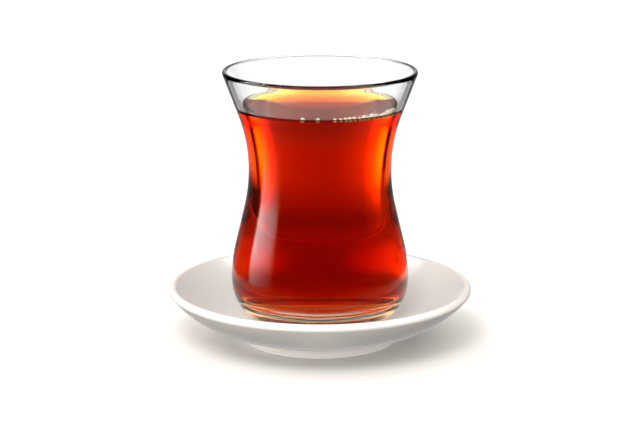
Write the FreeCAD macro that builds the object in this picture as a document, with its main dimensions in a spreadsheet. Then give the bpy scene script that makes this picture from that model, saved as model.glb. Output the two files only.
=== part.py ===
import FreeCAD, Part
import math
import os
import Sketcher
from FreeCAD import Vector

# A waisted tea glass, filled with tea, standing in its round porcelain saucer.
# Millimetres, +Z up. The origin is the centre of the saucer's foot, on the table.
# Every piece is turned about the Z axis, so each is drawn as a half section.

SIZES = [
    # the glass, measured from the underside of its own base
    ("glass_height", 85.0, "base to the top of the rim"),
    ("glass_wall", 2.1, "side wall, and the thickness of the rounded rim"),
    ("base_thickness", 6.6, "clear base, at the axis"),
    ("base_inset", 10.5, "from the widest point in to the edge of the flat base"),
    ("heel_radius", 5.0, "round between that flat and the belly"),
    ("belly_radius", 29.5, "widest point of the belly"),
    ("belly_height", 14.8, "height of that point"),
    ("belly_curve", 52.0, "arc above the belly"),
    ("flank_straight", 12.8, "straight stretch from the belly to the waist"),
    ("waist_radius", 23.65, "narrowest point"),
    ("waist_height", 52.0, "height of that point"),
    ("flare_straight", 14.4, "straight stretch below the rim"),
    ("rim_radius", 32.1, "outside of the rim"),
    ("bowl_curve", 130.0, "dished floor of the cavity"),
    ("bowl_corner", 8.0, "round between that floor and the wall"),
    # the tea
    ("tea_below_rim", 12.6, "from the top of the rim down to the tea's surface"),
    # the saucer
    ("saucer_radius", 50.5, "outside of the lip"),
    ("saucer_height", 18.7, "top of the lip"),
    ("saucer_wall", 2.8, "dish, and the thickness of the rounded lip"),
    ("seat_height", 6.2, "flat that the glass stands on, above the table"),
    ("seat_margin", 3.0, "width of that flat outside the glass's base"),
    ("foot_radius", 26.0, "outside of the foot ring, on the table"),
    ("foot_width", 3.0, "width of the ring"),
    ("foot_draft", 0.6, "how much wider the ring is where it meets the dish"),
    ("foot_recess", 2.4, "underside of the seat, above the table"),
    ("foot_round", 0.7, "rounding of the ring's edges"),
]
UP = math.pi / 2        # directions from an arc's centre, anticlockwise from +X
LEFT = math.pi
START, END, CENTRE = 1, 2, 3        # a sketch's names for the points of a line or an arc
TOUCHING = 0.001        # mm, how near two lengths are when they count as the same


def makeSheet(doc):
    """Writes the driving sizes into the spreadsheet that everything is bound to."""
    sheet = doc.addObject("Spreadsheet::Sheet", "sizes")
    for row, (name, value, note) in enumerate(SIZES, start=1):
        sheet.set("A%d" % row, name)
        sheet.set("B%d" % row, str(value))
        sheet.set("C%d" % row, note)
        sheet.setAlias("B%d" % row, name)
    doc.recompute()
    return sheet


def point(x, y):
    return Vector(x, y, 0)


def polar(centre, radius, direction):
    return centre + point(radius * math.cos(direction), radius * math.sin(direction))


def directionOf(vector):
    return math.atan2(vector.y, vector.x)


def meet(first, firstRadius, second, secondRadius):
    """The crossing of two circles that lies to the left of the way from first to second."""
    between = second - first
    along = (firstRadius ** 2 - secondRadius ** 2 + between.Length ** 2) / (2 * between.Length)
    aside = math.sqrt(firstRadius ** 2 - along ** 2)
    return polar(polar(first, along, directionOf(between)), aside, directionOf(between) + UP)


class Section:
    """A half section: one chain of lines and arcs, with its sizes bound to the sheet."""

    def __init__(self, body, name):
        self.sketch = body.newObject("Sketcher::SketchObject", name)
        plane = [f for f in body.Origin.OriginFeatures if f.Role == "XZ_Plane"][0]
        self.sketch.AttachmentSupport = [(plane, "")]
        self.sketch.MapMode = "FlatFace"

    def line(self, start, end, guide=False):
        return self.sketch.addGeometry(Part.LineSegment(start, end), guide)

    def arc(self, centre, radius, low, high, guide=False):
        circle = Part.Circle(centre, Vector(0, 0, 1), radius)
        return self.sketch.addGeometry(Part.ArcOfCircle(circle, low, high), guide)

    def tie(self, kind, *where):
        return self.sketch.addConstraint(Sketcher.Constraint(kind, *where))

    def present(self, kind, where):
        """The value that a dimension has as drawn."""
        drawn = self.sketch.Geometry[where[0]]
        if kind == "Radius":
            return drawn.Radius
        if kind == "Distance":
            return drawn.length()
        spot = self.sketch.getPoint(*where)
        return spot.x if kind == "DistanceX" else spot.y

    def bind(self, expression, kind, *where):
        """Adds a dimension and binds it to the sheet."""
        index = self.tie(kind, *where, self.present(kind, where))
        self.sketch.setExpression("Constraints[%d]" % index, expression)

    def place(self, expressionX, expressionY, *where):
        self.bind(expressionX, "DistanceX", *where)
        self.bind(expressionY, "DistanceY", *where)

    def onAxis(self, geometry, end):
        self.tie("PointOnObject", geometry, end, -2)

    def smooth(self, *chain):
        """Runs the curve through the chain's ends without a corner."""
        for first, firstEnd, second, secondEnd in chain:
            self.tie("Tangent", first, firstEnd, second, secondEnd)

    def close(self, *chain):
        """Joins ends that meet at a corner."""
        for first, firstEnd, second, secondEnd in chain:
            self.tie("Coincident", first, firstEnd, second, secondEnd)


def drawGlass(section, size, cavity):
    """The section of the glass's wall, or of the cavity that the wall holds."""
    wall = size.glass_wall
    bead = wall / 2
    baseRadius = size.belly_radius - size.base_inset

    # belly: the heel runs into a lower arc that is upright at the widest point
    heelCentre = point(baseRadius, size.heel_radius)
    rise = size.belly_height - size.heel_radius
    reach = size.base_inset ** 2 + rise ** 2 - size.heel_radius ** 2
    lowerCurve = reach / (2 * (size.base_inset - size.heel_radius))
    lowerCentre = point(size.belly_radius - lowerCurve, size.belly_height)
    heelTurn = directionOf(heelCentre - lowerCentre)

    # flank: two arcs and the straight between them, from the belly in to the waist
    narrowing = size.belly_radius - size.waist_radius
    climb = size.waist_height - size.belly_height
    bothCurves = (narrowing ** 2 + climb ** 2 - size.flank_straight ** 2) / (2 * narrowing)
    waistCurve = bothCurves - size.belly_curve
    bellyCentre = point(size.belly_radius - size.belly_curve, size.belly_height)
    waistCentre = point(size.waist_radius + waistCurve, size.waist_height)
    across = waistCentre - bellyCentre
    lean = directionOf(across) - math.acos(bothCurves / across.Length)

    # flare: an arc and a straight, from the waist out to the rounded rim
    rimCentre = point(size.rim_radius - bead, size.glass_height - bead)
    outward = rimCentre.x - size.waist_radius
    upward = rimCentre.y - size.waist_height
    swing = outward ** 2 + upward ** 2 - bead ** 2 - size.flare_straight ** 2
    flareCurve = swing / (2 * (outward + bead))
    flareCentre = point(size.waist_radius + flareCurve, size.waist_height)
    toRim = rimCentre - flareCentre
    flareTurn = directionOf(toRim) + math.acos((flareCurve + bead) / toRim.Length)

    # floor of the cavity: a shallow bowl with a round corner against the wall
    innerBelly = size.belly_curve - wall
    bowlCentre = point(0, size.base_thickness + size.bowl_curve)
    corner = size.bowl_corner
    cornerCentre = meet(bowlCentre, size.bowl_curve - corner, bellyCentre, innerBelly - corner)
    floorTurn = directionOf(cornerCentre - bowlCentre)
    sideTurn = directionOf(cornerCentre - bellyCentre)

    base = section.line(point(0, 0), point(baseRadius, 0), cavity)
    heel = section.arc(heelCentre, size.heel_radius, -UP, heelTurn, cavity)
    lower = section.arc(lowerCentre, lowerCurve, heelTurn, 0, cavity)
    belly = section.arc(bellyCentre, size.belly_curve, 0, lean, cavity)
    flank = section.line(polar(bellyCentre, size.belly_curve, lean),
                         polar(waistCentre, waistCurve, LEFT + lean), cavity)
    waist = section.arc(waistCentre, waistCurve, LEFT, LEFT + lean, cavity)
    flare = section.arc(flareCentre, flareCurve, flareTurn, LEFT, cavity)
    neck = section.line(polar(flareCentre, flareCurve, flareTurn),
                        polar(rimCentre, -bead, flareTurn), cavity)
    rim = section.arc(rimCentre, bead, flareTurn - LEFT, flareTurn, cavity)
    inNeck = section.line(polar(rimCentre, bead, flareTurn),
                          polar(flareCentre, flareCurve + wall, flareTurn))
    inFlare = section.arc(flareCentre, flareCurve + wall, flareTurn, LEFT)
    inWaist = section.arc(waistCentre, waistCurve + wall, LEFT, LEFT + lean)
    inFlank = section.line(polar(waistCentre, waistCurve + wall, LEFT + lean),
                           polar(bellyCentre, innerBelly, lean))
    inBelly = section.arc(bellyCentre, innerBelly, sideTurn, lean)
    inCorner = section.arc(cornerCentre, corner, floorTurn, sideTurn)
    bowl = section.arc(bowlCentre, size.bowl_curve, -UP, floorTurn)

    section.close((base, START, -1, START))
    section.tie("Horizontal", base)
    section.smooth(
        (base, END, heel, START), (heel, END, lower, START), (lower, END, belly, START),
        (belly, END, flank, START), (flank, END, waist, END), (waist, START, flare, END),
        (flare, START, neck, START), (neck, END, rim, START), (rim, END, inNeck, START),
        (inNeck, END, inFlare, START), (inFlare, END, inWaist, START),
        (inWaist, END, inFlank, START), (inFlank, END, inBelly, END),
        (inBelly, START, inCorner, END), (inCorner, START, bowl, END))
    section.close((flare, CENTRE, inFlare, CENTRE), (waist, CENTRE, inWaist, CENTRE),
                  (belly, CENTRE, inBelly, CENTRE))
    section.tie("Parallel", flank, inFlank)
    section.tie("Parallel", neck, inNeck)
    section.tie("Horizontal", belly, CENTRE, belly, START)
    section.tie("Horizontal", flare, CENTRE, flare, END)
    section.onAxis(bowl, CENTRE)
    section.onAxis(bowl, START)

    section.bind("sizes.belly_radius - sizes.base_inset", "DistanceX", base, END)
    section.bind("sizes.heel_radius", "Radius", heel)
    section.place("sizes.belly_radius", "sizes.belly_height", belly, START)
    section.bind("sizes.belly_curve", "Radius", belly)
    section.bind("sizes.flank_straight", "Distance", flank)
    section.place("sizes.waist_radius", "sizes.waist_height", flare, END)
    section.bind("sizes.flare_straight", "Distance", neck)
    section.bind("sizes.glass_wall / 2", "Radius", rim)
    section.place("sizes.rim_radius - sizes.glass_wall / 2",
                  "sizes.glass_height - sizes.glass_wall / 2", rim, CENTRE)
    section.bind("sizes.base_thickness", "DistanceY", bowl, START)
    section.bind("sizes.bowl_curve", "Radius", bowl)
    section.bind("sizes.bowl_corner", "Radius", inCorner)

    floor = point(0, size.base_thickness)
    if cavity:
        mouth = polar(rimCentre, bead, flareTurn)
        stem = section.line(floor, point(0, mouth.y))
        lid = section.line(point(0, mouth.y), mouth)
        section.close((bowl, START, stem, START), (stem, END, lid, START), (lid, END, inNeck, START))
        section.onAxis(stem, END)
        section.tie("Horizontal", lid)
    else:
        stem = section.line(floor, point(0, 0))
        section.close((bowl, START, stem, START), (stem, END, base, START))


def drawSaucer(section, size):
    """The section of the dish with its rounded lip, its flat seat and its foot ring."""
    wall = size.saucer_wall
    bead = wall / 2
    seatEdge = size.belly_radius - size.base_inset + size.seat_margin
    lipCentre = point(size.saucer_radius - bead, size.saucer_height - bead)

    # the dish is one arc that leaves the seat level and ends at the lip
    outward = lipCentre.x - seatEdge
    upward = lipCentre.y - size.seat_height
    dishCurve = (outward ** 2 + upward ** 2 - bead ** 2) / (2 * (upward + bead)) + wall
    dishCentre = point(seatEdge, size.seat_height - wall + dishCurve)
    lipTurn = directionOf(lipCentre - dishCentre)
    footTurn = -math.acos((size.foot_radius + size.foot_draft - seatEdge) / dishCurve)
    footInside = size.foot_radius - size.foot_width

    seat = section.line(point(0, size.seat_height), point(seatEdge, size.seat_height))
    inDish = section.arc(dishCentre, dishCurve - wall, -UP, lipTurn)
    lip = section.arc(lipCentre, bead, lipTurn, lipTurn + LEFT)
    dish = section.arc(dishCentre, dishCurve, footTurn, lipTurn)
    footOuter = section.line(polar(dishCentre, dishCurve, footTurn), point(size.foot_radius, 0))
    footFlat = section.line(point(size.foot_radius, 0), point(footInside, 0))
    footInner = section.line(point(footInside, 0), point(footInside, size.foot_recess))
    recess = section.line(point(footInside, size.foot_recess), point(0, size.foot_recess))
    stem = section.line(point(0, size.foot_recess), point(0, size.seat_height))

    section.smooth((seat, END, inDish, START), (inDish, END, lip, END), (lip, START, dish, END))
    section.close(
        (dish, START, footOuter, START), (footOuter, END, footFlat, START),
        (footFlat, END, footInner, START), (footInner, END, recess, START),
        (recess, END, stem, START), (stem, END, seat, START), (inDish, CENTRE, dish, CENTRE))
    for level in (seat, footFlat, recess):
        section.tie("Horizontal", level)
    section.tie("Vertical", footInner)
    section.onAxis(stem, START)
    section.onAxis(stem, END)

    section.bind("sizes.saucer_wall / 2", "Radius", lip)
    section.place("sizes.saucer_radius - sizes.saucer_wall / 2",
                  "sizes.saucer_height - sizes.saucer_wall / 2", lip, CENTRE)
    section.place("sizes.belly_radius - sizes.base_inset + sizes.seat_margin",
                  "sizes.seat_height", seat, END)
    section.bind("sizes.foot_radius + sizes.foot_draft", "DistanceX", dish, START)
    section.bind("sizes.foot_radius", "DistanceX", footFlat, START)
    section.tie("PointOnObject", footFlat, START, -1)
    section.bind("sizes.foot_radius - sizes.foot_width", "DistanceX", footFlat, END)
    section.bind("sizes.foot_recess", "DistanceY", recess, START)


def turn(body, section):
    """Turns a half section about the Z axis."""
    solid = body.newObject("PartDesign::Revolution", body.Name + "_turned")
    solid.Profile = section.sketch
    solid.ReferenceAxis = (section.sketch, ["V_Axis"])
    solid.Angle = 360
    section.sketch.Visibility = False
    return solid


def circlesAt(shape, radii):
    """The names of the circular edges round the Z axis that have one of the radii."""
    names = []
    for number, edge in enumerate(shape.Edges, start=1):
        if isinstance(edge.Curve, Part.Circle):
            if any(abs(edge.Curve.Radius - radius) < TOUCHING for radius in radii):
                names.append("Edge%d" % number)
    return names


def makeGlass(doc, size):
    body = doc.addObject("PartDesign::Body", "glass")
    section = Section(body, "glass_section")
    drawGlass(section, size, cavity=False)
    turn(body, section)
    body.setExpression("Placement.Base.z", "sizes.seat_height")
    return body


def makeTea(doc, size):
    """The cavity of the glass, filled up to the level of the tea."""
    body = doc.addObject("PartDesign::Body", "cavity")
    section = Section(body, "cavity_section")
    drawGlass(section, size, cavity=True)
    turn(body, section)
    below = doc.addObject("Part::Cylinder", "below_the_level")
    below.setExpression("Radius", "sizes.rim_radius")
    below.setExpression("Height", "sizes.glass_height - sizes.tea_below_rim")
    tea = doc.addObject("Part::Common", "tea")
    tea.Base = body
    tea.Tool = below
    tea.setExpression("Placement.Base.z", "sizes.seat_height")
    return tea


def makeSaucer(doc, size):
    body = doc.addObject("PartDesign::Body", "saucer")
    section = Section(body, "saucer_section")
    drawSaucer(section, size)
    turned = turn(body, section)
    doc.recompute()
    # soft edges on the ring, and a soft crease where it meets the dish
    radii = [size.foot_radius, size.foot_radius - size.foot_width, size.foot_radius + size.foot_draft]
    rounded = body.newObject("PartDesign::Fillet", "foot_rounded")
    rounded.Base = (turned, circlesAt(turned.Shape, radii))
    rounded.setExpression("Radius", "sizes.foot_round")
    return body


def check(doc, pieces):
    """Stops if a feature failed, a sketch is loose or a piece isn't one valid solid."""
    for thing in doc.Objects:
        if {"Invalid", "Error"} & set(thing.State):
            raise RuntimeError(thing.Label + " failed: " + ", ".join(thing.State))
        if thing.TypeId == "Sketcher::SketchObject" and not thing.FullyConstrained:
            raise RuntimeError(thing.Label + " isn't fully constrained")
    for piece in pieces:
        shape = piece.Shape
        if shape.isNull() or not shape.isValid() or len(shape.Solids) != 1:
            raise RuntimeError(piece.Label + " isn't one valid solid")


def main():
    doc = FreeCAD.newDocument("tea_glass")
    size = makeSheet(doc)
    pieces = [makeSaucer(doc, size), makeGlass(doc, size), makeTea(doc, size)]
    doc.recompute()
    check(doc, pieces)
    os.makedirs("parts", exist_ok=True)
    for piece in pieces:
        piece.Shape.exportStep("parts/%s.step" % piece.Label)
        print("%s: %.0f mm3" % (piece.Label, piece.Shape.Volume))


main()
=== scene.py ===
import bpy
import math
import random
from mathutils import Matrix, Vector


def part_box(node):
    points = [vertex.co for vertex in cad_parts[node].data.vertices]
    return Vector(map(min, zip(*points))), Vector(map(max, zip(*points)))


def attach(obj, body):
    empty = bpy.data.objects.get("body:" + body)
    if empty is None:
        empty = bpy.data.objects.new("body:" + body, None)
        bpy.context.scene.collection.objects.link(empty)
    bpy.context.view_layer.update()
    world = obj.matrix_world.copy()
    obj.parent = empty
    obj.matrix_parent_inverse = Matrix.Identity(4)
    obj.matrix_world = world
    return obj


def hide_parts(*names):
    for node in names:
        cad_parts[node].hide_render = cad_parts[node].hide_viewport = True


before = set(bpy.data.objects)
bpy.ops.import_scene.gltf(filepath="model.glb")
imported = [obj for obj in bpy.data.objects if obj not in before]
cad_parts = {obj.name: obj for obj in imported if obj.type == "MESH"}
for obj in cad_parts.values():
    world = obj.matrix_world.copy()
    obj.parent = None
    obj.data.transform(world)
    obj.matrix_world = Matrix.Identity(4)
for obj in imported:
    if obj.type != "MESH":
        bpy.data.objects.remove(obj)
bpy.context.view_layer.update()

# A tea glass on its saucer. Every piece is turned about the Z axis, and stands where the frame says.
# Outlines are lists of (radius, height) in millimetres, and go into meshes in metres.

mm = 0.001
up, left = math.pi / 2, math.pi         # directions from an arc's centre

glassLow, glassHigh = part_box("glass")
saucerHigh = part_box("saucer")[1]
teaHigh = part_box("tea")[1]
seatHeight = glassLow[2] / mm           # the glass's underside


def arcPoints(centre, radius, start, end, step=2.0):
    # points along an arc, about every step degrees, without its last point
    count = max(2, math.ceil(abs(math.degrees(end - start)) / step))
    turns = [start + (end - start) * n / count for n in range(count)]
    return [(centre[0] + radius * math.cos(a), centre[1] + radius * math.sin(a)) for a in turns]


def linePoints(start, end, count=6):
    return [(start[0] + (end[0] - start[0]) * n / count,
             start[1] + (end[1] - start[1]) * n / count) for n in range(count)]


def polar(centre, radius, angle):
    return (centre[0] + radius * math.cos(angle), centre[1] + radius * math.sin(angle))


def crossing(first, firstRadius, second, secondRadius):
    # where two circles cross, to the left of the way from first to second
    gap = math.dist(first, second)
    along = (firstRadius ** 2 - secondRadius ** 2 + gap ** 2) / (2 * gap)
    way = math.atan2(second[1] - first[1], second[0] - first[0])
    aside = math.sqrt(firstRadius ** 2 - along ** 2)
    return polar(polar(first, along, way), aside, way + up)


def lathe(name, outline, lift=0.0, segments=224):
    # turns an outline whose two ends lie on the axis into a closed mesh
    verts, faces, rings = [], [], []
    for radius, height in outline:
        z = (height + lift) * mm
        if radius < 1e-6:
            rings.append([len(verts)])
            verts.append((0, 0, z))
            continue
        rings.append(list(range(len(verts), len(verts) + segments)))
        for n in range(segments):
            angle = 2 * math.pi * n / segments
            verts.append((radius * mm * math.cos(angle), radius * mm * math.sin(angle), z))
    for low, high in zip(rings, rings[1:]):
        for n in range(segments):
            m = (n + 1) % segments
            if len(low) == 1:
                faces.append((low[0], high[n], high[m]))
            elif len(high) == 1:
                faces.append((low[n], high[0], low[m]))
            else:
                faces.append((low[n], high[n], high[m], low[m]))
    return makePiece(name, verts, faces)


def makePiece(name, verts, faces):
    mesh = bpy.data.meshes.new(name)
    mesh.from_pydata(verts, [], faces)
    mesh.validate()
    for face in mesh.polygons:
        face.use_smooth = True
    piece = bpy.data.objects.new(name, mesh)
    bpy.context.collection.objects.link(piece)
    bpy.ops.object.select_all(action="DESELECT")
    piece.select_set(True)
    bpy.context.view_layer.objects.active = piece
    bpy.ops.object.mode_set(mode="EDIT")
    bpy.ops.mesh.select_all(action="SELECT")
    bpy.ops.mesh.normals_make_consistent(inside=False)
    bpy.ops.object.mode_set(mode="OBJECT")
    return piece


def newMaterial(name):
    material = bpy.data.materials.new(name)
    material.use_nodes = True
    nodes = material.node_tree.nodes
    return material, nodes, material.node_tree.links, nodes["Principled BSDF"]


def addNoise(nodes, links, scale, detail=3.0):
    place = nodes.new("ShaderNodeTexCoord")
    noise = nodes.new("ShaderNodeTexNoise")
    noise.inputs["Scale"].default_value = scale
    noise.inputs["Detail"].default_value = detail
    links.new(place.outputs["Object"], noise.inputs["Vector"])
    return noise.outputs["Fac"]


def addGrain(nodes, links, shader, finish):
    # uneven polish, and a surface that isn't quite true
    polish = nodes.new("ShaderNodeMapRange")
    polish.inputs["From Min"].default_value = 0.35      # the noise mostly stays between these two
    polish.inputs["From Max"].default_value = 0.65
    polish.inputs["To Min"].default_value, polish.inputs["To Max"].default_value = finish["roughness"]
    links.new(addNoise(nodes, links, finish["polishScale"]), polish.inputs["Value"])
    links.new(polish.outputs["Result"], shader.inputs["Roughness"])
    bump = nodes.new("ShaderNodeBump")
    bump.inputs["Strength"].default_value = finish["waviness"]
    bump.inputs["Distance"].default_value = mm
    links.new(addNoise(nodes, links, finish["waveScale"], 1.5), bump.inputs["Height"])
    links.new(bump.outputs["Normal"], shader.inputs["Normal"])


# the glass

glassShape = {
    "wall": 2.1,
    "baseThickness": 6.6,
    "baseInset": 10.5,          # from the widest point in to the flat base
    "heel": 5.0,
    "belly": (29.5, 14.8),      # radius and height of the widest point
    "bellyCurve": 52.0,
    "flank": 12.8,              # straight from the belly to the waist
    "waist": (23.65, 52.0),
    "neck": 14.4,               # straight below the rim
    "bowlCurve": 130.0,         # floor of the cavity
    "bowlCorner": 8.0,
    "hollow": 0.35,             # under the base
    "standRing": 1.5,           # width of the ring that it stands on
    "ringSlope": 0.02,          # the ring's inner edge is this far off the saucer
    "lip": 1.6,                 # the wall thins to this at the rim
}


def glassCurves():
    # centres, radii and turning angles of the arcs, as the turner would set them out
    s = glassShape
    c = {}
    bead = s["wall"] / 2
    rimRadius = glassHigh[0] / mm
    height = (glassHigh[2] - glassLow[2]) / mm
    bellyR, bellyZ = s["belly"]
    waistR, waistZ = s["waist"]
    c["heel"] = (bellyR - s["baseInset"], s["heel"])
    rise = bellyZ - s["heel"]
    lower = (s["baseInset"] ** 2 + rise ** 2 - s["heel"] ** 2) / (2 * (s["baseInset"] - s["heel"]))
    c["lowerRadius"] = lower
    c["lower"] = (bellyR - lower, bellyZ)
    c["heelTurn"] = math.atan2(c["heel"][1] - bellyZ, c["heel"][0] - c["lower"][0])
    narrowing, climb = bellyR - waistR, waistZ - bellyZ
    both = (narrowing ** 2 + climb ** 2 - s["flank"] ** 2) / (2 * narrowing)
    c["waistRadius"] = both - s["bellyCurve"]
    c["belly"] = (bellyR - s["bellyCurve"], bellyZ)
    c["waist"] = (waistR + c["waistRadius"], waistZ)
    across = (c["waist"][0] - c["belly"][0], c["waist"][1] - c["belly"][1])
    c["lean"] = math.atan2(across[1], across[0]) - math.acos(both / math.hypot(*across))
    c["rim"] = (rimRadius - bead, height - bead)
    outward, upward = c["rim"][0] - waistR, c["rim"][1] - waistZ
    swing = outward ** 2 + upward ** 2 - bead ** 2 - s["neck"] ** 2
    c["flareRadius"] = swing / (2 * (outward + bead))
    c["flare"] = (waistR + c["flareRadius"], waistZ)
    toRim = (c["rim"][0] - c["flare"][0], c["rim"][1] - c["flare"][1])
    c["flareTurn"] = math.atan2(toRim[1], toRim[0])
    c["flareTurn"] += math.acos((c["flareRadius"] + bead) / math.hypot(*toRim))
    return c


def cavityOutline(curves, outset=0.0):
    # the inner wall from the floor's middle up to the rim; outset moves it into the glass
    s, c = glassShape, curves
    wall = s["wall"] - outset
    bowl = (0.0, s["baseThickness"] + s["bowlCurve"])
    bowlRadius = s["bowlCurve"] + outset
    corner = s["bowlCorner"] + outset
    side = s["bellyCurve"] - wall
    cornerAt = crossing(bowl, bowlRadius - corner, c["belly"], side - corner)
    floorTurn = math.atan2(cornerAt[1] - bowl[1], cornerAt[0] - bowl[0])
    sideTurn = math.atan2(cornerAt[1] - c["belly"][1], cornerAt[0] - c["belly"][0])
    bead = s["wall"] / 2
    outline = [(0.0, bowl[1] - bowlRadius)] + arcPoints(bowl, bowlRadius, -up, floorTurn, 0.9)[1:]
    outline += arcPoints(cornerAt, corner, floorTurn, sideTurn, 3.0)
    outline += arcPoints(c["belly"], side, sideTurn, c["lean"], 0.6)
    outline += linePoints(polar(c["belly"], side, c["lean"]),
                          polar(c["waist"], c["waistRadius"] + wall, left + c["lean"]))
    outline += arcPoints(c["waist"], c["waistRadius"] + wall, left + c["lean"], left, 0.6)
    outline += arcPoints(c["flare"], c["flareRadius"] + wall, left, c["flareTurn"], 0.6)
    lip = bead if outset else s["lip"] - bead
    outline += linePoints(polar(c["flare"], c["flareRadius"] + wall, c["flareTurn"]),
                          polar(c["rim"], lip - outset, c["flareTurn"]), 10)
    return outline


def glassOutline(curves):
    s, c = glassShape, curves
    bead = s["wall"] / 2
    # the underside is a little hollow, so that it stands on a ring
    ring = c["heel"][0] - s["standRing"]
    outline = [(ring * n / 16, s["hollow"] * (1 - (n / 16) ** 4) + s["ringSlope"]) for n in range(16)]
    outline += [(ring + s["standRing"] * n / 3, s["ringSlope"] * (1 - n / 3)) for n in range(3)]
    outline += arcPoints(c["heel"], s["heel"], -up, c["heelTurn"], 4.0)
    outline += arcPoints(c["lower"], c["lowerRadius"], c["heelTurn"], 0.0, 2.0)
    outline += arcPoints(c["belly"], s["bellyCurve"], 0.0, c["lean"], 0.6)
    outline += linePoints(polar(c["belly"], s["bellyCurve"], c["lean"]),
                          polar(c["waist"], c["waistRadius"], left + c["lean"]))
    outline += arcPoints(c["waist"], c["waistRadius"], left + c["lean"], left, 0.6)
    outline += arcPoints(c["flare"], c["flareRadius"], left, c["flareTurn"], 0.6)
    outline += linePoints(polar(c["flare"], c["flareRadius"], c["flareTurn"]),
                          polar(c["rim"], -bead, c["flareTurn"]), 10)
    middle = polar(c["rim"], (s["lip"] - s["wall"]) / 2, c["flareTurn"])
    for n in range(25):
        turn = left * n / 24
        outer = polar(middle, -s["lip"] / 2 * math.cos(turn), c["flareTurn"])
        outline.append(polar(outer, bead * math.sin(turn), c["flareTurn"] - up))
    return outline + cavityOutline(curves)[::-1]


glassFinish = {"ior": 1.5, "tint": (0.985, 0.995, 0.99, 1), "sheen": (0.03, 0.03, 0.03, 1),
               "roughness": (0.0, 0.012), "polishScale": 160.0, "waviness": 0.02, "waveScale": 55.0}


def glassMaterial():
    material, nodes, links, shader = newMaterial("clearGlass")
    shader.inputs["Base Color"].default_value = glassFinish["tint"]
    shader.inputs["Transmission Weight"].default_value = 1.0
    shader.inputs["IOR"].default_value = glassFinish["ior"]
    shader.inputs["Specular Tint"].default_value = glassFinish["sheen"]
    addGrain(nodes, links, shader, glassFinish)
    return material


curves = glassCurves()
glassPiece = lathe("glassBody", glassOutline(curves), seatHeight)
glassPiece.data.materials.append(glassMaterial())
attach(glassPiece, "root")
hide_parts("glass")
glassPiece.visible_shadow = False        # clear glass lets the lamp and the daylight through
glassPiece.visible_diffuse = False
print("glass turned:", len(glassPiece.data.vertices), "points")

# the tea

teaShape = {
    "intoWall": 0.15,           # how far it reaches into the glass, so that no air shows
    "creep": 1.1,               # how high it climbs the wall
    "creepWidth": 5.0,          # how far from the wall the surface starts to rise
}
teaFinish = {"ior": 1.33, "depth": 800.0, "colour": (0.975, 0.85, 0.0, 1), "sheen": (0.05, 0.05, 0.05, 1),
             "roughness": (0.0, 0.006), "polishScale": 240.0, "waviness": 0.015, "waveScale": 70.0}


def teaOutline(curves):
    level = teaHigh[2] / mm - seatHeight
    creep = teaShape["creep"]
    inWall = cavityOutline(curves, teaShape["intoWall"])
    wall = [p for p in inWall if p[1] < level + creep]
    below, above = wall[-1], inWall[len(wall)]
    share = (level + creep - below[1]) / (above[1] - below[1])
    edge = below[0] + (above[0] - below[0]) * share
    inner = edge - teaShape["creepWidth"]
    surface = []
    for n in range(17):
        x = 1 - n / 16          # 1 at the wall, 0 where the surface is level
        surface.append((inner + (edge - inner) * x, level + creep * x ** 3))
    flat = [(inner * n / 10, level) for n in range(9, 0, -1)] + [(0.0, level)]
    return wall + surface + flat


def teaMaterial():
    material, nodes, links, shader = newMaterial("blackTea")
    shader.inputs["Base Color"].default_value = (1, 1, 1, 1)
    shader.inputs["Transmission Weight"].default_value = 1.0
    shader.inputs["IOR"].default_value = teaFinish["ior"]
    shader.inputs["Specular Tint"].default_value = teaFinish["sheen"]
    addGrain(nodes, links, shader, teaFinish)
    absorption = nodes.new("ShaderNodeVolumeAbsorption")
    absorption.inputs["Color"].default_value = teaFinish["colour"]
    absorption.inputs["Density"].default_value = teaFinish["depth"]
    links.new(absorption.outputs["Volume"], nodes["Material Output"].inputs["Volume"])
    return material


teaPiece = lathe("teaBody", teaOutline(curves), seatHeight)
teaPiece.data.materials.append(teaMaterial())
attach(teaPiece, "root")
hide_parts("tea")
print("tea poured to", round(teaHigh[2] / mm, 1), "mm")

# the bubbles along the tea's edge

bubbleShape = {
    "singles": (-12.5, -1.5),               # bearings in degrees, 0 in front and 90 at the right
    "singleWidth": 1.5,
    # first and last bearing, count and width: front right, then both sides of the back
    "chains": ((11, 72, 17, 1.6), (112, 160, 19, 0.95), (-160, -112, 21, 0.9)),
    "uneven": 0.2,                          # how far one strays along its chain, in steps
    "widths": (0.75, 1.2),                  # smallest and largest, as a share of the width given
    "raised": 0.35,                         # they float this far above the tea's level, as it climbs
    "sunk": 0.25,                           # the share of the width that is below that
    "wallGap": 0.05,
    "wallAt": 0.6,                          # the wall's radius is taken this far above the level
    "seed": 7,
}
bubbleFinish = {"ior": 1.4, "tint": (1.0, 0.93, 0.84, 1), "clear": 0.55,
                "roughness": (0.02, 0.08), "polishScale": 900.0, "waviness": 0.05, "waveScale": 400.0}


def bubbleSpots():
    # centres and widths in millimetres, beside the wall just above the tea's level
    s = bubbleShape
    level = teaHigh[2] / mm
    edge = [p[0] for p in cavityOutline(curves) if p[1] + seatHeight < level + s["wallAt"]][-1]
    chance = random.Random(s["seed"])
    wanted = [(bearing, s["singleWidth"]) for bearing in s["singles"]]
    for first, last, count, width in s["chains"]:
        for n in range(count):
            step = n + chance.uniform(-s["uneven"], s["uneven"])
            bearing = first + (last - first) * step / (count - 1)
            wanted.append((bearing, width * chance.uniform(*s["widths"])))
    spots = []
    for bearing, width in wanted:
        reach = edge - width / 2 - s["wallGap"]
        turn = math.radians(bearing)
        z = level + s["raised"] + width * (0.5 - s["sunk"])
        spots.append((reach * math.sin(turn), -reach * math.cos(turn), z, width))
    return spots


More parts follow.
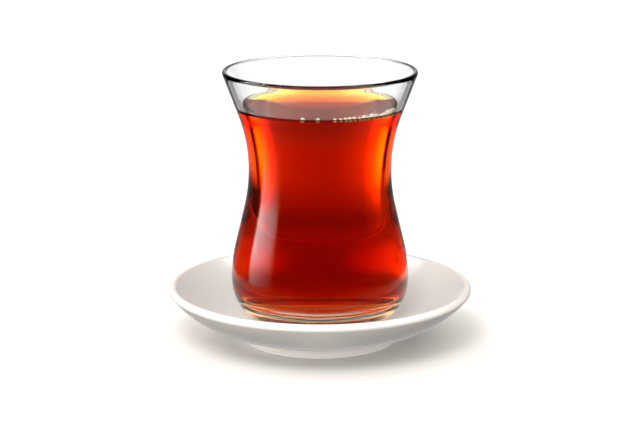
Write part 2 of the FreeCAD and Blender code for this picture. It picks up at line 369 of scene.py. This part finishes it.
def makeBubbles(name, spots, rings=8, segments=14):
    verts, faces = [], []
    for x, y, z, width in spots:
        base, radius = len(verts), width / 2
        verts.append((x * mm, y * mm, (z + radius) * mm))
        for r in range(1, rings):
            down = math.pi * r / rings
            for n in range(segments):
                turn = 2 * math.pi * n / segments
                verts.append(((x + radius * math.sin(down) * math.cos(turn)) * mm,
                              (y + radius * math.sin(down) * math.sin(turn)) * mm,
                              (z + radius * math.cos(down)) * mm))
        verts.append((x * mm, y * mm, (z - radius) * mm))
        last = len(verts) - 1
        for n in range(segments):
            m = (n + 1) % segments
            faces.append((base, base + 1 + n, base + 1 + m))
            faces.append((last, last - segments + m, last - segments + n))
            for r in range(rings - 2):
                row = base + 1 + r * segments
                faces.append((row + n, row + segments + n, row + segments + m, row + m))
    return makePiece(name, verts, faces)


def bubbleMaterial():
    material, nodes, links, shader = newMaterial("teaBubble")
    shader.inputs["Base Color"].default_value = bubbleFinish["tint"]
    shader.inputs["Transmission Weight"].default_value = bubbleFinish["clear"]
    shader.inputs["IOR"].default_value = bubbleFinish["ior"]
    addGrain(nodes, links, shader, bubbleFinish)
    return material


bubblePiece = makeBubbles("teaBubbles", bubbleSpots())
bubblePiece.data.materials.append(bubbleMaterial())
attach(bubblePiece, "root")
print("bubbles set:", len(bubblePiece.data.vertices), "points")

# the saucer

saucerShape = {
    "wall": 2.8,
    "seatMargin": 3.0,          # how far the flat seat reaches past the glass's base
    "footRadius": 26.0,
    "footWidth": 3.0,
    "footDraft": 0.6,
    "recess": 2.4,              # how far its roof is above the floor
    "round": 0.7,
}


def softenCorners(points, radius, which):
    # rounds off the corners whose numbers are given
    result = []
    for n, spot in enumerate(points):
        if n not in which:
            result.append(spot)
            continue
        before, after = Vector(points[n - 1]), Vector(points[n + 1])
        here = Vector(spot)
        first = here + (before - here).normalized() * radius
        last = here + (after - here).normalized() * radius
        for k in range(7):
            t = k / 6
            result.append(tuple(first * (1 - t) ** 2 + here * 2 * t * (1 - t) + last * t ** 2))
    return result


def saucerOutline():
    s = saucerShape
    wall, bead = s["wall"], s["wall"] / 2
    seatEdge = glassShape["belly"][0] - glassShape["baseInset"] + s["seatMargin"]
    lip = (saucerHigh[0] / mm - bead, saucerHigh[2] / mm - bead)
    outward, upward = lip[0] - seatEdge, lip[1] - seatHeight
    dishRadius = (outward ** 2 + upward ** 2 - bead ** 2) / (2 * (upward + bead)) + wall
    dish = (seatEdge, seatHeight - wall + dishRadius)
    lipTurn = math.atan2(lip[1] - dish[1], lip[0] - dish[0])
    footTop = s["footRadius"] + s["footDraft"]
    footTurn = -math.acos((footTop - seatEdge) / dishRadius)
    footInside = s["footRadius"] - s["footWidth"]
    outline = [(0.0, seatHeight)] + [(seatEdge * n / 8, seatHeight) for n in range(1, 8)]
    outline += arcPoints(dish, dishRadius - wall, -up, lipTurn, 1.0)
    outline += arcPoints(lip, bead, lipTurn + left, lipTurn, 8.0)
    outline += arcPoints(dish, dishRadius, lipTurn, footTurn, 1.0)
    crease = polar(dish, dishRadius, footTurn)
    roof = (footInside - 3, s["recess"])        # on the recess's flat roof, just inside the foot
    ring = [outline[-1], crease, (s["footRadius"], 0.0), (footInside, 0.0), (footInside, s["recess"]), roof]
    outline += softenCorners(ring, s["round"], {1, 2, 3, 4})[1:]
    outline += [(roof[0] * (1 - n / 6), s["recess"]) for n in range(1, 6)]
    return outline + [(0.0, s["recess"])]


glazeFinish = {"ior": 1.5, "white": (0.87, 0.86, 0.845, 1), "cream": (0.84, 0.825, 0.80, 1),
               "clouding": 30.0, "roughness": (0.14, 0.24), "polishScale": 120.0,
               "waviness": 0.06, "waveScale": 45.0}


def porcelainMaterial():
    material, nodes, links, shader = newMaterial("whitePorcelain")
    shader.inputs["IOR"].default_value = glazeFinish["ior"]
    cloud = nodes.new("ShaderNodeMix")
    cloud.data_type = "RGBA"
    cloud.inputs["A"].default_value = glazeFinish["cream"]
    cloud.inputs["B"].default_value = glazeFinish["white"]
    links.new(addNoise(nodes, links, glazeFinish["clouding"]), cloud.inputs["Factor"])
    links.new(cloud.outputs["Result"], shader.inputs["Base Color"])
    addGrain(nodes, links, shader, glazeFinish)
    return material


saucerPiece = lathe("saucerDish", saucerOutline())
saucerPiece.data.materials.append(porcelainMaterial())
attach(saucerPiece, "root")
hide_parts("saucer")
print("saucer turned:", len(saucerPiece.data.vertices), "points")

# the studio

floorShape = {
    "half": 1.5,                # metres
    "white": (0.8, 0.79, 0.78, 1),
    "glow": 0.5,                # painted light: the paper glows though it is no lamp, more away from the saucer, so it is darker near it as painted shade
    "glowFrom": 0.022,
    "glowTo": 0.09,
}
paperFinish = {"roughness": (0.85, 1.0), "polishScale": 90.0, "waviness": 0.04, "waveScale": 350.0}


def makeFloor():
    half = floorShape["half"]
    corners = [(-half, -half, 0), (half, -half, 0), (half, half, 0), (-half, half, 0)]
    mesh = bpy.data.meshes.new("floor")
    mesh.from_pydata(corners, [], [(0, 1, 2, 3)])
    floor = bpy.data.objects.new("floor", mesh)
    bpy.context.collection.objects.link(floor)
    material, nodes, links, shader = newMaterial("floorPaper")
    shader.inputs["Base Color"].default_value = floorShape["white"]
    shader.inputs["Specular IOR Level"].default_value = 0.0
    addGrain(nodes, links, shader, paperFinish)
    # painted light: the paper's glow grows with the distance from the middle, so that it is white round the
    # shadow; near the saucer it hardly glows, which darkens the paper there as painted shade
    place = nodes.new("ShaderNodeNewGeometry")
    reach = nodes.new("ShaderNodeVectorMath")
    reach.operation = "LENGTH"
    glow = nodes.new("ShaderNodeMapRange")
    glow.interpolation_type = "SMOOTHSTEP"
    glow.inputs["From Min"].default_value = floorShape["glowFrom"]
    glow.inputs["From Max"].default_value = floorShape["glowTo"]
    glow.inputs["To Max"].default_value = floorShape["glow"]
    links.new(place.outputs["Position"], reach.inputs[0])
    links.new(reach.outputs["Value"], glow.inputs["Value"])
    links.new(glow.outputs["Result"], shader.inputs["Emission Strength"])
    shader.inputs["Emission Color"].default_value = (1, 1, 1, 1)
    floor.data.materials.append(material)
    floor.visible_glossy = False
    floor.visible_transmission = False
    floor.visible_diffuse = False


keyLamp = {"place": (-0.12, -0.5, 0.55), "size": 0.25, "watts": 1.9}


def addKeyLamp():
    data = bpy.data.lights.new("key", "AREA")
    data.size = keyLamp["size"]
    data.energy = keyLamp["watts"]
    lamp = bpy.data.objects.new("key", data)
    lamp.location = keyLamp["place"]
    lamp.rotation_euler = (-lamp.location).to_track_quat("-Z", "Y").to_euler()
    lamp.visible_glossy = False
    lamp.visible_camera = False
    lamp.visible_transmission = False
    bpy.context.collection.objects.link(lamp)


# brightness by bearing, 0 in front and 90 at the right, or by height above the horizon, in degrees
studio = {
    "seen": 0.99,
    # what the glass gathers: the backdrop, as far round as plain glass and inner reflections see it
    "open": [(-180, 1), (-145, 1), (-143, 0.5), (-141, 0.15), (-131, 0.15), (-127, 0.8), (-110, 1),
             (110, 1), (118, 0.8), (134, 0.15), (142, 0.15), (144, 0.6), (147, 1), (180, 1)],
    "inner": [(-180, 1), (-145, 1), (-141, 0.15), (-75, 0.15), (-60, 0.05), (60, 0.05), (75, 0.15),
              (141, 0.15), (147, 1), (180, 1)],
    "backdrop": [(-90, 0), (-40, 0), (-30, 0.42), (-24, 0.46), (-22, 0.65), (-20, 0.85), (-14, 1.0),
                 (-9, 1.02), (-4, 1.0), (0, 0.78), (5, 0.5), (9, 0), (90, 0)],
    # the backdrop's bright flanks, which make the tea glow at its sides
    "flank": [(-180, 0), (-174, 0.05), (-168, 0.35), (-161, 1.0), (-155, 4.7), (-150, 12.5), (-146, 15.5),
              (-144, 0), (146, 0), (148, 13.0), (151, 13.0), (155, 7.2), (158, 2.6), (162, 0.5), (168, 0.2),
              (180, 0)],
    "flankHeight": [(-90, 0.1), (-30, 0.02), (-26, 0.06), (-20, 0.35), (-15, 0.65), (-8, 0.9), (0, 1),
                    (6, 1), (12, 0), (90, 0)],
    # panels at the sides, and a low one at the left
    "side": [(-180, 0), (-139, 0), (-136, 3.6), (-115, 4.0), (-111, 0), (111, 0), (115, 2.2), (130, 2.6),
             (135, 3.6), (140, 3.6), (142, 0), (180, 0)],
    "sideHeight": [(-90, 0), (-24, 0), (-16, 0.6), (-8, 1), (9, 1), (16, 0), (90, 0)],
    "window": [(-180, 0), (-146, 0), (-142, 1), (-90, 1), (-80, 0), (180, 0)],
    "windowHeight": [(-90, 0), (-33, 0), (-30, 0.8), (-15, 0.8), (-11, 0), (90, 0)],
    # what the tea's surface mirrors, in a warm colour
    "mirror": [(-180, 1.3), (-160, 2.0), (-145, 2.3), (-110, 2.3), (-85, 0.15), (85, 0.15), (110, 2.3),
               (145, 2.3), (160, 2.0), (180, 1.3)],
    "mirrorHeight": [(-90, 0), (7, 0), (12, 1), (32, 1), (38, 0), (90, 0)],
    "mirrorColour": (1.0, 0.5, 0.42, 1),
    # the ceiling, and the table below
    "overhead": [(-90, 1.4), (-37, 1.4), (-31, 0), (36, 0), (42, 1.4), (90, 1.6)],
    # what shiny faces reflect: a tall softbox at the left, high panels, the backdrop and the ceiling
    "strip": [(-180, 0), (-106, 0), (-102, 1), (-90, 0.9), (-67, 0.8), (-65.5, 0), (180, 0)],
    "stripHeight": [(-90, 0), (-40, 0.1), (-20, 1.0), (-12, 3.0), (-3, 8.0), (6, 26.0), (14, 38.0),
                    (50, 38.0), (65, 0), (90, 0)],
    "panels": [(-180, 0), (-115, 0), (-95, 1), (-60, 1), (-40, 0), (40, 0), (60, 1), (95, 1), (115, 0),
               (180, 0)],
    "panelsHeight": [(-90, 0), (38, 0), (48, 22.0), (66, 22.0), (78, 0), (90, 0)],
    "behind": [(0, 0), (140, 0), (155, 0.15), (168, 0.5), (180, 0.9)],
    "ceiling": [(-90, 0), (0, 0), (30, 0.1), (60, 0.6), (90, 0.9)],
    # what falls on the porcelain and the floor
    "soft": [(-180, 0.6), (-100, 1.2), (-50, 1.3), (0, 1.0), (50, 0.85), (100, 0.65), (180, 0.6)],
    "softHeight": [(-90, 0), (-35, 0), (-20, 0.2), (-8, 1.25), (5, 2.2), (22, 2.2), (45, 0.8), (90, 0.5)],
    "softColour": (1.0, 0.93, 0.87, 1),
}


def makeWorld():
    # what a ray meets outside the set depends on how it left the object: seen directly the studio is
    # white, shiny faces reflect dark walls with a tall softbox, and the glass gathers the lit backdrop
    world = bpy.data.worlds.new("studio")
    bpy.context.scene.world = world
    world.use_nodes = True
    world.cycles.sampling_method = "NONE"
    nodes, links = world.node_tree.nodes, world.node_tree.links
    nodes.clear()

    def mathNode(operation, first, second=None):
        node = nodes.new("ShaderNodeMath")
        node.operation = operation
        for socket, value in zip(node.inputs, (first, second)):
            if isinstance(value, (int, float)):
                socket.default_value = value
            elif value is not None:
                links.new(value, socket)
        return node.outputs[0]

    def ramp(value, low, high, stops):
        # brightness along a value that runs from low to high; stops are (value, brightness)
        peak = max(level for spot, level in stops)
        node = nodes.new("ShaderNodeValToRGB")
        elements = node.color_ramp.elements
        for n, (spot, level) in enumerate(stops):
            place = (spot - low) / (high - low)
            if 0 < n < len(stops) - 1:
                stop = elements.new(place)
            else:
                stop = elements[-1 if n else 0]
            stop.position = place
            stop.color = (level / peak, level / peak, level / peak, 1)
        links.new(mathNode("DIVIDE", mathNode("SUBTRACT", value, low), high - low), node.inputs["Fac"])
        return mathNode("MULTIPLY", node.outputs["Color"], peak)

    coord = nodes.new("ShaderNodeTexCoord")
    split = nodes.new("ShaderNodeSeparateXYZ")
    path = nodes.new("ShaderNodeLightPath")
    links.new(coord.outputs["Generated"], split.inputs[0])
    x, y, z = split.outputs
    bearing = mathNode("DEGREES", mathNode("ARCTAN2", x, mathNode("MULTIPLY", y, -1)))
    height = mathNode("DEGREES", mathNode("ARCSINE", z))

    def byBearing(name):
        return ramp(bearing, -180, 180, studio[name])

    def byHeight(name):
        return ramp(height, -90, 90, studio[name])

    def patch(name):
        return mathNode("MULTIPLY", byBearing(name), byHeight(name + "Height"))

    # straight through the glass there is light all round, but what the walls pass on by reflection is dim
    plain = mathNode("LESS_THAN", path.outputs["Glossy Depth"], 0.5)
    around = mathNode("MULTIPLY", byBearing("open"), plain)
    inside = mathNode("MULTIPLY", byBearing("inner"), mathNode("SUBTRACT", 1, plain))
    through = mathNode("MULTIPLY", mathNode("ADD", around, inside), byHeight("backdrop"))
    for name in ("flank", "window", "side"):
        through = mathNode("ADD", through, mathNode("MULTIPLY", patch(name), plain))
    mirror = patch("mirror")
    through = mathNode("ADD", through, mirror)
    through = mathNode("ADD", through, byHeight("overhead"))
    shine = mathNode("ADD", patch("strip"), patch("panels"))
    shine = mathNode("ADD", shine, ramp(mathNode("ABSOLUTE", bearing), 0, 180, studio["behind"]))
    shine = mathNode("ADD", shine, byHeight("ceiling"))
    soft = patch("soft")
    strength = None
    for kind, level in (("Transmission", through), ("Reflection", shine), ("Diffuse", soft)):
        picked = nodes.new("ShaderNodeMix")
        picked.inputs["A"].default_value = studio["seen"]
        links.new(path.outputs["Is " + kind + " Ray"], picked.inputs["Factor"])
        links.new(level, picked.inputs["B"])
        if strength:
            links.new(strength, picked.inputs["A"])
        strength = picked.outputs["Result"]
    tints = (("softColour", path.outputs["Is Diffuse Ray"]),
             ("mirrorColour", mathNode("MULTIPLY", mirror, path.outputs["Is Transmission Ray"])))
    colour = None
    for name, share in tints:
        tint = nodes.new("ShaderNodeMix")
        tint.data_type = "RGBA"
        tint.inputs["A"].default_value = (1, 1, 1, 1)
        tint.inputs["B"].default_value = studio[name]
        links.new(share, tint.inputs["Factor"])
        if colour:
            links.new(colour, tint.inputs["A"])
        colour = tint.outputs["Result"]
    glow = nodes.new("ShaderNodeBackground")
    links.new(colour, glow.inputs["Color"])
    links.new(strength, glow.inputs["Strength"])
    links.new(glow.outputs[0], nodes.new("ShaderNodeOutputWorld").inputs["Surface"])


cameraView = {
    "distance": 712.5,          # to the target, in millimetres
    "elevation": 13.447,        # degrees above the horizon
    "target": 42.67,            # height of the target above the floor
    "lens": 120.6,
}


def makeCamera():
    data = bpy.data.cameras.new("camera")
    data.lens = cameraView["lens"]
    camera = bpy.data.objects.new("camera", data)
    tilt = math.radians(cameraView["elevation"])
    distance = cameraView["distance"]
    height = cameraView["target"] + distance * math.sin(tilt)
    camera.location = (0, -distance * math.cos(tilt) * mm, height * mm)
    camera.rotation_euler = (up - tilt, 0, 0)
    bpy.context.collection.objects.link(camera)
    bpy.context.scene.camera = camera


makeFloor()
makeWorld()
makeCamera()
addKeyLamp()
scene = bpy.context.scene
scene.view_settings.view_transform = "Standard"
scene.view_settings.look = "None"
scene.cycles.max_bounces = 24
scene.cycles.transmission_bounces = 20
scene.cycles.glossy_bounces = 8
print("studio lit")
